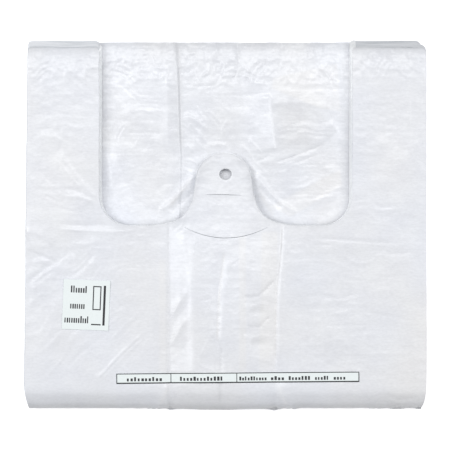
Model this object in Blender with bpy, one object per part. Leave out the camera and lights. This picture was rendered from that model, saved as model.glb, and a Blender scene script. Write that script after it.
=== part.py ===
"""A folded pack of white film carrier bags, with two paper labels on its front.

Units are metres, +Z is up and +Y points to the open end of the fold, where the
bags' handles are. The origin is under the middle of the pack, on the surface it lies on.
"""

import math

import bmesh
import bpy
from mathutils import Matrix, Vector

# The pack in plan
packLength = 0.2295
leftEdgeTop = -0.1234
leftEdgeBottom = -0.1256
rightEdge = 0.1256
cornerRadius = 0.0040
cornerSteps = 3

# The folded section: two leaves, a narrow slot between them and a round fold at -Y
leafThickness = 0.0082
slotGap = 0.0008
foldReach = 0.0140
endSlope = 0.0046
slotEndInset = 0.0010
foldSteps = 10
slotSteps = 2

# The middle column, where the bags have no side gussets and the pack is thinner
gussetLeft = -0.0355
gussetRight = 0.0355
gussetRightAtFold = 0.0305
recessDepth = 0.0006
innerGussetLeft = -0.0290
innerGussetRight = 0.0275

# The cut between the two handles, through the front leaf only
cutLeft = -0.0781
cutRight = 0.0790
cutFloor = -0.0008
cutCornerRadius = 0.0190
cutCornerSteps = 5

# The welded tab that holds the bags together
tabMiddle = -0.0008
tabTop = 0.0447
tabRadius = 0.0176
crownSteps = 8
tabFlare = [
    (0.0182, 0.0235),
    (0.0196, 0.0165),
    (0.0212, 0.0115),
    (0.0242, 0.0062),
    (0.0295, 0.0024),
    (0.0367, 0.0004),
]
flareEnd = 0.0460

# The hanging hole and the two tear slits in the tab
holeCentre = (0.0003, 0.0310)
holeRadii = (0.0039, 0.0035)
holeSteps = 12
slitWidth = 0.0006
straightSlitStart = (-0.0127, 0.0182)
straightSlitEnd = (0.0106, 0.0178)
arcSlitHalf = 0.0262
arcSlitMiddle = (0.0006, -0.0088)
arcSlitSag = 0.0070
arcSlitSteps = 8

# The labels
labelThickness = 0.0002
labelGap = 0.0003
squareLabelSize = (0.0290, 0.0310)
squareLabelCentre = (-0.0864, -0.0504)
squareLabelTurn = math.radians(-2.4)
stripLabelSize = (0.1510, 0.0064)
stripLabelCentre = (0.0080, -0.0957)
stripLabelTurn = math.radians(0.45)

# Heights that follow from the section
innerTop = leafThickness + slotGap
slotMiddle = leafThickness + slotGap / 2
packTop = innerTop + leafThickness
openEnd = packLength / 2
foldEdge = -packLength / 2
labelBottom = packTop + labelGap
cutterMargin = 0.0050

filmColour = (0.86, 0.88, 0.92, 1.0)
paperColour = (0.88, 0.93, 0.94, 1.0)


def clearScene():
    for thing in list(bpy.data.objects):
        bpy.data.objects.remove(thing)


def makeMaterial(name, colour, roughness):
    material = bpy.data.materials.new(name)
    material.use_nodes = True
    shader = material.node_tree.nodes["Principled BSDF"]
    shader.inputs["Base Color"].default_value = colour
    shader.inputs["Roughness"].default_value = roughness
    shader.inputs["Metallic"].default_value = 0.0
    return material


def arc(centreX, centreY, radiusX, radiusY, startDegrees, endDegrees, steps):
    """Points of an elliptical arc, both ends included."""
    points = []
    for step in range(steps + 1):
        angle = math.radians(startDegrees + (endDegrees - startDegrees) * step / steps)
        points.append((centreX + radiusX * math.cos(angle), centreY + radiusY * math.sin(angle)))
    return points


def extruded(name, outline, direction, place=lambda a, b: (a, b, 0.0)):
    """A closed solid: an outline set in space by place, and extruded along direction."""
    shape = bmesh.new()
    corners = [shape.verts.new(place(a, b)) for a, b in outline]
    base = shape.faces.new(corners)
    grown = bmesh.ops.extrude_face_region(shape, geom=[base])
    moved = [item for item in grown["geom"] if isinstance(item, bmesh.types.BMVert)]
    bmesh.ops.translate(shape, verts=moved, vec=direction)
    bmesh.ops.recalc_face_normals(shape, faces=shape.faces)
    mesh = bpy.data.meshes.new(name)
    shape.to_mesh(mesh)
    shape.free()
    thing = bpy.data.objects.new(name, mesh)
    bpy.context.scene.collection.objects.link(thing)
    return thing


def upright(name, outline, low, high):
    """A prism that stands on its plan outline, from low to high."""
    return extruded(name, outline, Vector((0, 0, high - low)), lambda x, y: (x, y, low))


def applyBoolean(target, cutter, operation):
    """Cuts or trims the target with the cutter, which stays in the file as a hidden guide."""
    cutter.hide_render = True
    cutter.display_type = "WIRE"
    modifier = target.modifiers.new(cutter.name, "BOOLEAN")
    modifier.operation = operation
    modifier.solver = "EXACT"
    modifier.object = cutter


def foldSection():
    """The folded pack seen from its side, as (y, z) points: outer skin, then the slot."""
    foldMiddle = packTop / 2
    foldStart = foldEdge + foldReach
    slotRadius = slotGap / 2
    slotBottom = foldStart - slotRadius
    outer = arc(foldStart, foldMiddle, foldReach, packTop / 2, 90, 270, foldSteps)
    slot = arc(slotBottom, slotMiddle, slotRadius, slotRadius, 270, 90, slotSteps)
    topEnd = [(openEnd, innerTop), (openEnd - endSlope, packTop)]
    bottomEnd = [(openEnd - endSlope, 0.0), (openEnd - slotEndInset, leafThickness)]
    return outer + bottomEnd + slot + topEnd


def planOutline():
    """The pack from above: slightly wider at the fold, with soft corners."""
    radius = cornerRadius
    openY = openEnd - radius
    foldY = foldEdge + radius
    right = rightEdge - radius
    outline = arc(right, openY, radius, radius, 0, 90, cornerSteps)
    outline += arc(leftEdgeTop + radius, openY, radius, radius, 90, 180, cornerSteps)
    outline += arc(leftEdgeBottom + radius, foldY, radius, radius, 180, 270, cornerSteps)
    outline += arc(right, foldY, radius, radius, 270, 360, cornerSteps)
    return outline


def tabSide():
    """Half of the tab's edge, as (distance from its middle, y), from crown to cut floor."""
    crown = arc(0.0, tabTop - tabRadius, tabRadius, tabRadius, 90, 6, crownSteps)
    return crown + tabFlare + [(flareEnd, cutFloor)]


def handleCut():
    """The cut between the handles, from above: a U whose floor rises into the tab."""
    top = openEnd + cutterMargin
    cornerY = cutFloor + cutCornerRadius
    half = tabSide()
    leftTab = [(tabMiddle - x, y) for x, y in reversed(half)]
    rightTab = [(tabMiddle + x, y) for x, y in half[1:]]
    outline = [(cutLeft, top)]
    radius = cutCornerRadius
    outline += arc(cutLeft + radius, cornerY, radius, radius, 180, 270, cutCornerSteps)
    outline += leftTab + rightTab
    outline += arc(cutRight - radius, cornerY, radius, radius, 270, 360, cutCornerSteps)
    outline += [(cutRight, top)]
    return outline


def slitOutline(line, width):
    """A narrow closed outline along a line, half the width to each side and drawn to points."""
    left = []
    right = []
    for index, point in enumerate(line):
        before = Vector(line[max(index - 1, 0)])
        after = Vector(line[min(index + 1, len(line) - 1)])
        along = (after - before).normalized()
        side = Vector((-along.y, along.x)) * width / 2
        here = Vector(point)
        if 0 < index < len(line) - 1:
            left.append(tuple(here + side))
            right.append(tuple(here - side))
    return [tuple(line[0])] + left + [tuple(line[-1])] + right[::-1]


def straightSlit():
    start = Vector(straightSlitStart)
    end = Vector(straightSlitEnd)
    return [tuple(start.lerp(end, step / 4)) for step in range(5)]


def arcSlit():
    """A shallow arc that sags in its middle."""
    radius = (arcSlitHalf ** 2 + arcSlitSag ** 2) / (2 * arcSlitSag)
    spread = math.degrees(math.asin(arcSlitHalf / radius))
    centreX, lowest = arcSlitMiddle
    return arc(centreX, lowest + radius, radius, radius, 270 - spread, 270 + spread, arcSlitSteps)


def buildPack(film):
    wide = rightEdge - leftEdgeBottom + 2 * cutterMargin
    start = leftEdgeBottom - cutterMargin
    pack = extruded("bag_pack", foldSection(), Vector((wide, 0, 0)), lambda y, z: (start, y, z))
    above = packTop + cutterMargin
    below = -cutterMargin
    applyBoolean(pack, upright("plan_guide", planOutline(), below, above), "INTERSECT")
    far = openEnd + cutterMargin
    near = foldEdge - cutterMargin
    column = [(gussetLeft, far), (gussetLeft, near), (gussetRightAtFold, near), (gussetRight, far)]
    applyBoolean(pack, upright("middle_recess", column, packTop - recessDepth, above), "DIFFERENCE")
    slotNear = foldEdge + foldReach
    inner = [(innerGussetLeft, far), (innerGussetLeft, slotNear)]
    inner += [(innerGussetRight, slotNear), (innerGussetRight, far)]
    floor = leafThickness - recessDepth
    applyBoolean(pack, upright("inner_recess", inner, floor, slotMiddle), "DIFFERENCE")
    applyBoolean(pack, upright("handle_cut", handleCut(), slotMiddle, above), "DIFFERENCE")
    hole = arc(*holeCentre, *holeRadii, 0, 360, holeSteps)[:-1]
    applyBoolean(pack, upright("hanging_hole", hole, slotMiddle, above), "DIFFERENCE")
    for name, line in (("straight_slit", straightSlit()), ("arc_slit", arcSlit())):
        slit = upright(name, slitOutline(line, slitWidth), slotMiddle, above)
        applyBoolean(pack, slit, "DIFFERENCE")
    pack.data.materials.append(film)
    return pack


def buildLabel(name, size, centre, turn, paper):
    """A flat paper rectangle, turned a little in plan, just above the pack's front."""
    across, along = size[0] / 2, size[1] / 2
    outline = [(-across, -along), (across, -along), (across, along), (-across, along)]
    label = upright(name, outline, labelBottom, labelBottom + labelThickness)
    label.data.transform(Matrix.Translation((centre[0], centre[1], 0)) @ Matrix.Rotation(turn, 4, "Z"))
    label.data.materials.append(paper)
    return label


def main():
    clearScene()
    film = makeMaterial("white_film", filmColour, 0.40)
    paper = makeMaterial("label_paper", paperColour, 0.65)
    buildPack(film)
    buildLabel("square_label", squareLabelSize, squareLabelCentre, squareLabelTurn, paper)
    buildLabel("strip_label", stripLabelSize, stripLabelCentre, stripLabelTurn, paper)


main()
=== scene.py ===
import math
import bpy
import numpy as np
from mathutils import Matrix, Vector
from mathutils.geometry import delaunay_2d_cdt
from mathutils.kdtree import KDTree


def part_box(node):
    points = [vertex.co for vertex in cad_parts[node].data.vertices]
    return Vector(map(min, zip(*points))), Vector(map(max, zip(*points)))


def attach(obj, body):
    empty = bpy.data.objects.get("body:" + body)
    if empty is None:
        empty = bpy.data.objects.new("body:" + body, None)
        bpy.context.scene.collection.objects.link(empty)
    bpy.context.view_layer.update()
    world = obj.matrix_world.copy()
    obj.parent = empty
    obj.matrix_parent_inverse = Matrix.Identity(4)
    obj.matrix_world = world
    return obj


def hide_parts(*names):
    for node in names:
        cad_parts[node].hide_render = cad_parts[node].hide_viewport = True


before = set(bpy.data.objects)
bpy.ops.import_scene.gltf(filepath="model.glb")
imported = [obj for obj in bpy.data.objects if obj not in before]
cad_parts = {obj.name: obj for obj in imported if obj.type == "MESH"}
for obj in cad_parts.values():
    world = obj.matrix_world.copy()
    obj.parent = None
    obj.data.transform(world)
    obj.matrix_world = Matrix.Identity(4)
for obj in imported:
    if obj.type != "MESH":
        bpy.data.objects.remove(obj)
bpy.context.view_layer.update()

# a folded pack of film carrier bags, worked out in millimetres and made in metres
mm = 0.001
packLow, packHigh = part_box("bag_pack")

pack = {
    "left": packLow[0] / mm, "right": packHigh[0] / mm,
    "open": packHigh[1] / mm, "fold": packLow[1] / mm, "top": packHigh[2] / mm,
    "leftTaper": 2.2,      # the pack is this much narrower at its open end
    "leaf": 8.2,           # one leaf of the folded stack
    "foldReach": 14.0,     # how far the round fold comes in from its edge
    "creep": 4.4,          # how much shorter the outer bags are at the open end
    "corner": 3.4,
    "tabSag": 6.0,         # the tab is welded thin and lies low
    "rearDip": 1.3,        # between its gussets the rear leaf is thinner
}
squareLabel = {"size": (29.0, 31.0), "place": (-86.4, -50.4), "turn": -2.4}
stripLabel = {"size": (151.0, 6.4), "place": (8.0, -95.7), "turn": 0.45}
cut = {"left": -78.1, "right": 79.0, "floor": -0.8, "corner": 19.0, "tip": 2.6}
tab = {
    "middle": -0.8, "crown": 44.7, "radius": 17.6,
    "flare": [(18.2, 23.5), (19.6, 16.5), (21.2, 11.5), (24.2, 6.2), (29.5, 2.4), (36.7, 0.4), (46.0, -0.8)],
    "hole": (0.3, 31.0, 3.9, 3.5),
    "slit": [(-12.7, 18.2), (-3.0, 18.4), (4.0, 18.1), (10.6, 17.8)],
    "tear": (0.6, -8.8, 26.2, 7.0),      # middle, lowest point, half its width, sag
    "slitWidth": 0.24,
}
foldStart = pack["fold"] + pack["foldReach"]
foldRun = math.pi * math.sqrt((pack["foldReach"] ** 2 + (pack["top"] / 2) ** 2) / 2)
rearEnd = foldStart - foldRun - (pack["open"] - foldStart)


def clamp(values, low=0.0, high=1.0):
    return np.minimum(np.maximum(values, low), high)


def ease(values):
    t = clamp(values)
    return t * t * (3 - 2 * t)


# ---- smooth random waves, from -1 to 1, the same every run
def softNoise(x, y, seed):
    lattice = np.random.default_rng(seed).uniform(-1, 1, (64, 64))
    x, y = np.broadcast_arrays(np.asarray(x, float), np.asarray(y, float))
    column, row = np.floor(x).astype(int), np.floor(y).astype(int)
    across, up = x - column, y - row
    across = across ** 3 * (across * (across * 6 - 15) + 10)
    up = up ** 3 * (up * (up * 6 - 15) + 10)
    a = lattice[row % 64, column % 64]
    b = lattice[row % 64, (column + 1) % 64]
    c = lattice[(row + 1) % 64, column % 64]
    d = lattice[(row + 1) % 64, (column + 1) % 64]
    return (a * (1 - across) + b * across) * (1 - up) + (c * (1 - across) + d * across) * up


# sharp little ridges where the waves cross zero, as crumpled film has
def crumple(x, y, size, seed):
    total = 0.0
    for octave, share in enumerate((1.0, 0.55, 0.3)):
        scale = size / 1.9 ** octave
        total = total + share * (0.5 - np.abs(softNoise(x / scale, y / scale, seed + octave)))
    return total


# signed distance to a line of points (positive on its left) and the share of the way along it
def nearLine(x, y, points):
    best = np.full(x.shape, 1e9)
    side = np.zeros(x.shape)
    share = np.zeros(x.shape)
    lengths = [math.dist(p, q) for p, q in zip(points, points[1:])]
    gone = 0.0
    for (ax, ay), (bx, by), length in zip(points, points[1:], lengths):
        ux, uy = (bx - ax) / length, (by - ay) / length
        t = clamp((x - ax) * ux + (y - ay) * uy, 0, length)
        away = np.hypot(x - ax - t * ux, y - ay - t * uy)
        closer = away < best
        best = np.where(closer, away, best)
        side = np.where(closer, np.sign(ux * (y - ay) - uy * (x - ax)), side)
        share = np.where(closer, (gone + t) / sum(lengths), share)
        gone += length
    return best * side, share


# a sharp crease: it stands up (or sinks, below zero) and runs out over its left and right widths
def crease(x, y, points, height, leftWidth, rightWidth, fade=0.15):
    reach = 5 * max(leftWidth, rightWidth)
    xs, ys = [p[0] for p in points], [p[1] for p in points]
    near = (x > min(xs) - reach) & (x < max(xs) + reach) & (y > min(ys) - reach) & (y < max(ys) + reach)
    result = np.zeros(x.shape)
    if not near.any():
        return result
    off, share = nearLine(x[near], y[near], points)
    ends = ease(share / fade) * ease((1 - share) / fade) if fade else 1.0
    width = np.where(off > 0, leftWidth, rightWidth)
    result[near] = height * np.exp(-(np.abs(off) / width) ** 1.25) * ends
    return result


def turned(x, y, middle, turn):
    c, s = math.cos(math.radians(turn)), math.sin(math.radians(turn))
    return (x - middle[0]) * c + (y - middle[1]) * s, -(x - middle[0]) * s + (y - middle[1]) * c


def dent(x, y, middle, size, turn, depth):
    u, v = turned(x, y, middle, turn)
    return -depth * np.exp(-((u / size[0]) ** 2 + (v / size[1]) ** 2))


# a patch of small wrinkles that run along its own direction
def wrinkles(x, y, middle, size, turn, pitch, height, stretch=5.0, seed=50):
    u, v = turned(x, y, middle, turn)
    inside = ease(1.7 - 1.7 * np.hypot(u / size[0], v / size[1]))
    result = np.zeros(x.shape)
    near = inside > 0
    if near.any():
        u, v = u[near], v[near]
        v = v + pitch * 0.9 * softNoise(u / (pitch * 3.1), v / (pitch * 2.7), seed + 3)
        waves = softNoise(u / (pitch * stretch), v / pitch, seed)
        finer = softNoise(u / (pitch * stretch * 0.55), v / pitch * 1.9, seed + 1)
        result[near] = height * inside[near] * ((1 - 2.4 * np.abs(waves)) * 0.7 + 0.3 * finer)
    return result


# ---- outlines in the flat, unrolled pack: x across, s along it from the handles over the fold
def arcPoints(x, y, radiusX, radiusY, start, end, steps):
    angles = np.radians(np.linspace(start, end, steps + 1))
    return [(x + radiusX * math.cos(a), y + radiusY * math.sin(a)) for a in angles]


def throughPoints(points, steps):
    ends = [points[0]] + list(points) + [points[-1]]
    curve = []
    for index in range(len(points) - 1):
        p0, p1, p2, p3 = (np.array(p) for p in ends[index:index + 4])
        for t in np.arange(steps) / steps:
            bend = (p2 - p0) * t + (2 * p0 - 5 * p1 + 4 * p2 - p3) * t ** 2 + (3 * p1 - p0 - 3 * p2 + p3) * t ** 3
            curve.append(tuple((2 * p1 + bend) / 2))
    return curve + [tuple(points[-1])]


# places every step millimetres along a closed outline; each keeps its zone
def evenly(parts, step):
    points, zones = [], []
    for zone, line in parts:
        for p in line:
            points.append(p)
            zones.append(zone)
    spaced, kept = [], []
    for index, p in enumerate(points):
        q = points[(index + 1) % len(points)]
        count = max(1, round(math.dist(p, q) / step))
        if math.dist(p, q) < 1e-6:
            continue
        for k in range(count):
            spaced.append((p[0] + (q[0] - p[0]) * k / count, p[1] + (q[1] - p[1]) * k / count))
            kept.append(zones[index])
    return np.array(spaced), kept


def packOutline(step):
    radius, top = pack["corner"], pack["open"]
    leftOpen = pack["left"] + pack["leftTaper"]
    right = pack["right"]
    foldMiddle = foldStart - foldRun / 2
    half = tabHalf()
    rightTab = [(tab["middle"] + x, y) for x, y in reversed(half)]
    leftTab = [(tab["middle"] - x, y) for x, y in half[1:]]
    corner, tip = cut["corner"], cut["tip"]
    parts = [
        ("end", arcPoints(leftOpen + 2.6, top - 2.6, 2.6, 2.6, 90, 180, 6)),
        ("side", [(pack["left"], foldMiddle)]),
        ("end", arcPoints(leftOpen + radius, rearEnd + radius, radius, radius, 180, 270, 6)),
        ("side", arcPoints(right - radius, rearEnd + radius, radius, radius, 270, 360, 6)),
        ("end", arcPoints(right - radius, top - radius, radius, radius, 0, 90, 6)),
        ("cut", arcPoints(cut["right"] + tip, top - tip, tip, tip, 90, 180, 5)),
        ("cut", arcPoints(cut["right"] - corner, cut["floor"] + corner, corner, corner, 0, -90, 18)),
        ("cut", rightTab + leftTab),
        ("cut", arcPoints(cut["left"] + corner, cut["floor"] + corner, corner, corner, 270, 180, 18)),
        ("end", arcPoints(cut["left"] - tip, top - tip, tip, tip, 0, 90, 5)),
    ]
    return evenly(parts, step)


def narrowSlit(line, step):
    line, _ = evenly([("slit", line + line[::-1][1:-1])], step)
    line = [tuple(p) for p in line[:len(line) // 2 + 1]]
    count = len(line) - 1
    left, right = [], []
    for k in range(1, count):
        along = np.array(line[k + 1]) - np.array(line[k - 1])
        along /= np.linalg.norm(along)
        push = np.array((-along[1], along[0])) * tab["slitWidth"] / 2 * math.sin(math.pi * k / count) ** 0.5
        left.append(tuple(np.array(line[k]) + push))
        right.append(tuple(np.array(line[k]) - push))
    return np.array([line[0]] + left + [line[-1]] + right[::-1]), ["slit"] * (2 * count)


def tearLine():
    middle, lowest, half, sag = tab["tear"]
    radius = (half ** 2 + sag ** 2) / (2 * sag)
    spread = math.degrees(math.asin(half / radius))
    return arcPoints(middle, lowest + radius, radius, radius, 270 - spread, 270 + spread, 24)


# outward directions along a closed outline whose solid lies on its left
def outward(points):
    along = np.roll(points, -1, 0) - np.roll(points, 1, 0)
    along /= np.maximum(np.linalg.norm(along, axis=1), 1e-9)[:, None]
    return np.stack([along[:, 1], -along[:, 0]], 1)


# ---- from the flat pack to the folded one; depth is measured in from the outside
def folded(x, s, depth):
    leaf, top, reach = pack["leaf"], pack["top"], pack["foldReach"]
    angle = clamp((foldStart - s) / foldRun) * math.pi
    inside = clamp(depth / leaf, -0.2, 1.0)
    bulge = 0.8 + 0.7 * np.exp(-(x / 38) ** 4)
    a = (reach + bulge) * (1 - inside) + (top / 2 - leaf) * inside
    b = top / 2 - depth
    front = s >= foldStart
    rear = s < foldStart - foldRun
    y = np.where(front, s, np.where(rear, 2 * foldStart - foldRun - s, foldStart - a * np.sin(angle)))
    z = np.where(front, top - depth, np.where(rear, depth, top / 2 + b * np.cos(angle)))
    nearSide = ease((np.abs(x) - 96) / 29)
    x = x - np.sign(x) * 2.4 * np.sin(angle) ** 2 * nearSide
    return np.stack([x, y, np.maximum(z, 0.03)], 1)


# outer bags end shorter than inner ones, and the inner ones stop short of the front right corner
def slipped(x, s, depth):
    outside = 1 - clamp(depth / pack["leaf"])
    front = ease((s - (pack["open"] - 16)) / 16)
    rear = ease((rearEnd + 16 - s) / 16)
    s = s - pack["creep"] * outside * front + (pack["creep"] * outside + 0.3) * rear
    inset = 3.2 * clamp((depth - 3.5) / 2) * ease((x - 100) / 25) * np.maximum(front, rear)
    return x - inset, s


def tabHalf():
    half = arcPoints(0, tab["crown"] - tab["radius"], tab["radius"], tab["radius"], 90, 6, 20)
    return half[:-1] + throughPoints([half[-1]] + tab["flare"], 6)


tabEdge = [(tab["middle"] - x, y) for x, y in reversed(tabHalf()[::3])]
tabEdge += [(tab["middle"] + x, y) for x, y in tabHalf()[3::3]]
corner = cut["corner"]
leftFoot = arcPoints(cut["left"] + corner, cut["floor"] + corner, corner, corner, 180, 270, 8)
rightFoot = arcPoints(cut["right"] - corner, cut["floor"] + corner, corner, corner, 270, 360, 8)
cutEdge = [(cut["left"], 40.0)] + leftFoot + tabEdge + rightFoot + [(cut["right"], 40.0)]


def columnEdges(s):
    left = np.full(s.shape, -35.4)
    right = np.interp(-s, [0, 13, 24, 40, 60, 84, 120], [35.6, 35.0, 33.8, 32.2, 31.2, 31.4, 32.6])
    return left, right


# points, height, width on the left of the line and on its right
frontCreases = [
    # the tuck that runs down the middle column
    ([(-0.6, -16), (-2.9, -34), (-4.7, -45), (-4.8, -74), (-3.0, -80), (-2.4, -99), (-1.6, -116)], -0.55, 1.5, 3.2, 0.08),
    # long soft ridges down the column
    ([(-26.4, -6), (-27.4, -40), (-27.0, -116)], 0.30, 2.0, 4.2, 0.05),
    ([(-18.6, -4), (-20.6, -36), (-21.6, -70), (-20.0, -100)], 0.42, 3.4, 2.4, 0.12),
    ([(12.6, -10), (11.6, -34), (11.6, -92)], 0.18, 1.6, 3.4, 0.12),
    ([(22.8, -8), (22.4, -30), (23.6, -50)], 0.20, 2.4, 3.0, 0.2),
    # beside the right gusset edge, on the side panel
    ([(37.6, -2), (35.9, -24), (34.4, -45), (34.2, -84)], 0.30, 2.4, 1.3, 0.12),
    # slanting folds in the left of the column
    ([(-23.0, -40), (-27.4, -48), (-33.6, -59)], 0.34, 1.6, 3.0, 0.18),
    ([(-23.4, -58), (-28.4, -67), (-33.8, -77)], 0.34, 1.6, 3.0, 0.18),
    ([(-28.0, -80), (-33.8, -87)], 0.20, 1.4, 2.2, 0.2),
    ([(-7.5, -46), (-12.6, -58)], 0.12, 0.8, 0.6, 0.2),
    ([(-7.5, -66), (-15.5, -82.5), (-19.0, -90)], 0.16, 1.2, 0.7, 0.2),
    ([(-18.0, -86), (-11.0, -90), (-4.0, -92)], 0.12, 0.8, 1.2, 0.2),
    ([(-16.0, -48), (-8.0, -47)], -0.12, 0.7, 0.7, 0.25),
    ([(-14.0, -72), (-6.0, -71)], -0.12, 0.7, 0.7, 0.25),
    # short creases that run in from the right gusset edge
    ([(11.2, -45.2), (20.5, -44.8), (24.9, -41.1), (31.1, -34.6)], -0.34, 0.8, 1.3, 0.12),
    ([(12.8, -63.7), (21.5, -63.7), (28.0, -57.2)], -0.30, 0.8, 1.3, 0.15),
    ([(13.0, -56.6), (17.0, -51.2), (22.0, -49.6), (28.0, -50.5)], 0.16, 0.8, 1.6, 0.15),
    ([(13.0, -77.0), (17.5, -71.0), (22.5, -69.2), (28.0, -70.5)], 0.16, 0.8, 1.6, 0.15),
    ([(12.0, -48.0), (13.5, -50.5)], -0.2, 0.8, 0.8, 0.3),
    ([(12.0, -67.0), (13.5, -69.5)], -0.2, 0.8, 0.8, 0.3),
    ([(4.0, -26.0), (9.5, -21.8)], -0.14, 0.6, 0.8, 0.25),
    ([(13.0, -82.0), (22.0, -83.6), (30.0, -86.0)], 0.16, 0.8, 1.4, 0.2),
    # left handle and the top of the left panel
    ([(-103.0, 46.0), (-93.0, 31.0), (-79.0, 15.6)], 0.30, 0.9, 12.0, 0.12),
    ([(-105.0, 40.0), (-97.5, 31.0), (-88.0, 20.5)], 0.15, 0.8, 1.0, 0.2),
    ([(-116.0, 34.5), (-108.0, 25.0)], -0.16, 0.8, 0.8, 0.25),
    ([(-121.0, 50.0), (-113.0, 55.4), (-106.0, 54.6), (-99.5, 50.5)], 0.26, 1.2, 6.0, 0.2),
    ([(-118.0, 58.6), (-109.0, 59.4), (-101.0, 57.8)], -0.12, 0.6, 0.6, 0.25),
    ([(-103.0, 22.5), (-92.0, 20.8), (-79.5, 14.6)], -0.14, 0.7, 0.9, 0.2),
    ([(-101.0, 17.4), (-90.0, 16.6), (-80.0, 12.8)], 0.16, 0.9, 0.9, 0.2),
    ([(-107.6, 0.5), (-92.0, -0.9), (-68.0, -1.3)], -0.16, 1.6, 0.9, 0.2),
    ([(-107.6, -2.7), (-92.0, -4.0), (-72.0, -5.0), (-52.9, -4.0)], 0.18, 0.7, 0.9, 0.2),
    ([(-100.0, -10.0), (-92.0, -12.5), (-84.0, -11.4)], 0.12, 0.7, 0.8, 0.25),
    ([(-125.0, -4.0), (-114.0, -7.4), (-106.0, -13.6)], 0.30, 5.0, 1.1, 0.15),
    ([(-124.0, -16.0), (-112.0, -21.0), (-102.0, -24.6)], -0.22, 1.0, 1.0, 0.2),
    ([(-124.0, -24.5), (-114.0, -22.6), (-106.0, -27.0)], 0.18, 1.0, 1.6, 0.2),
    # fans of slanting facets below it
    ([(-108.0, -29.0), (-99.5, -21.8), (-93.0, -18.4)], 0.26, 1.2, 2.4, 0.2),
    ([(-101.0, -27.6), (-92.5, -19.0)], 0.20, 1.0, 2.0, 0.25),
    ([(-120.0, -33.0), (-112.0, -25.0)], 0.22, 1.4, 2.2, 0.25),
    ([(-121.0, -42.0), (-111.0, -34.0), (-104.0, -31.0)], 0.26, 1.8, 2.6, 0.2),
    ([(-122.0, -50.0), (-112.0, -42.0)], 0.22, 1.6, 2.0, 0.25),
    ([(-84.0, -26.0), (-78.0, -18.0)], 0.14, 1.0, 1.6, 0.25),
    ([(-74.0, -22.0), (-70.0, -14.0)], 0.12, 1.0, 1.4, 0.25),
    # two long creases below the square label
    ([(-80.0, -97.0), (-66.0, -82.0), (-51.0, -67.9)], 0.24, 0.9, 1.0, 0.12),
    ([(-77.0, -97.4), (-62.5, -82.0), (-50.0, -70.6)], 0.20, 0.8, 1.3, 0.12),
    ([(-72.0, -73.0), (-62.0, -63.0), (-53.0, -54.0)], 0.12, 0.9, 0.9, 0.25),
    ([(-118.0, -84.0), (-98.0, -64.0)], 0.12, 0.9, 1.4, 0.3),
    ([(-112.0, -97.0), (-96.0, -78.0)], 0.12, 0.9, 1.4, 0.3),
    # right handle and panel
    ([(114.5, 57.0), (114.3, 91.0)], 0.16, 0.7, 0.9, 0.2),
    ([(84.0, 10.0), (98.0, 8.6), (114.0, 9.6)], 0.12, 0.8, 1.2, 0.25),
    ([(50.0, -9.0), (70.0, -9.6), (92.0, -11.4), (108.0, -11.6)], -0.20, 1.2, 1.0, 0.2),
    ([(56.0, -13.0), (68.0, -13.2)], -0.12, 0.7, 0.8, 0.3),
    ([(98.0, -19.0), (110.0, -18.4), (120.0, -17.2)], -0.14, 0.9, 1.2, 0.25),
    ([(76.0, -36.0), (90.0, -36.6), (104.0, -34.0)], -0.16, 1.0, 1.2, 0.25),
    ([(44.0, -44.0), (66.0, -45.0), (90.0, -43.4)], -0.12, 1.0, 1.6, 0.25),
    ([(90.0, -56.0), (104.0, -57.6), (114.0, -59.4)], -0.14, 0.8, 1.0, 0.25),
    ([(60.0, -64.0), (84.0, -63.0)], -0.10, 0.8, 1.4, 0.3),
    # the corners of the gussets where they go over the fold
    ([(-35.6, -99.0), (-40.2, -108.6), (-46.0, -121.0)], 0.34, 1.4, 2.6, 0.12),
    ([(33.8, -98.5), (39.0, -108.6), (45.0, -121.0)], 0.34, 2.6, 1.4, 0.12),
    ([(96.0, -104.0), (108.0, -108.0), (122.0, -107.0)], -0.22, 1.0, 1.2, 0.2),
    ([(98.0, -108.5), (112.0, -112.5)], -0.18, 1.0, 1.2, 0.25),
]
frontDents = [
    ((20.6, -54.6), (6.0, 2.8), 4, 0.34), ((20.6, -74.6), (6.0, 2.8), 4, 0.34),
    ((15.4, -49.0), (2.6, 2.4), 0, 0.20), ((15.4, -68.0), (2.6, 2.4), 0, 0.18),
    ((-8.0, -82.0), (9.0, 14.0), -12, 0.30), ((20.0, -92.0), (9.0, 5.0), 0, 0.2),
    ((-97.0, 21.0), (9.0, 1.6), 0, 0.14), ((-88.0, -1.0), (22.0, 2.0), 0, 0.12),
]
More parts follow.
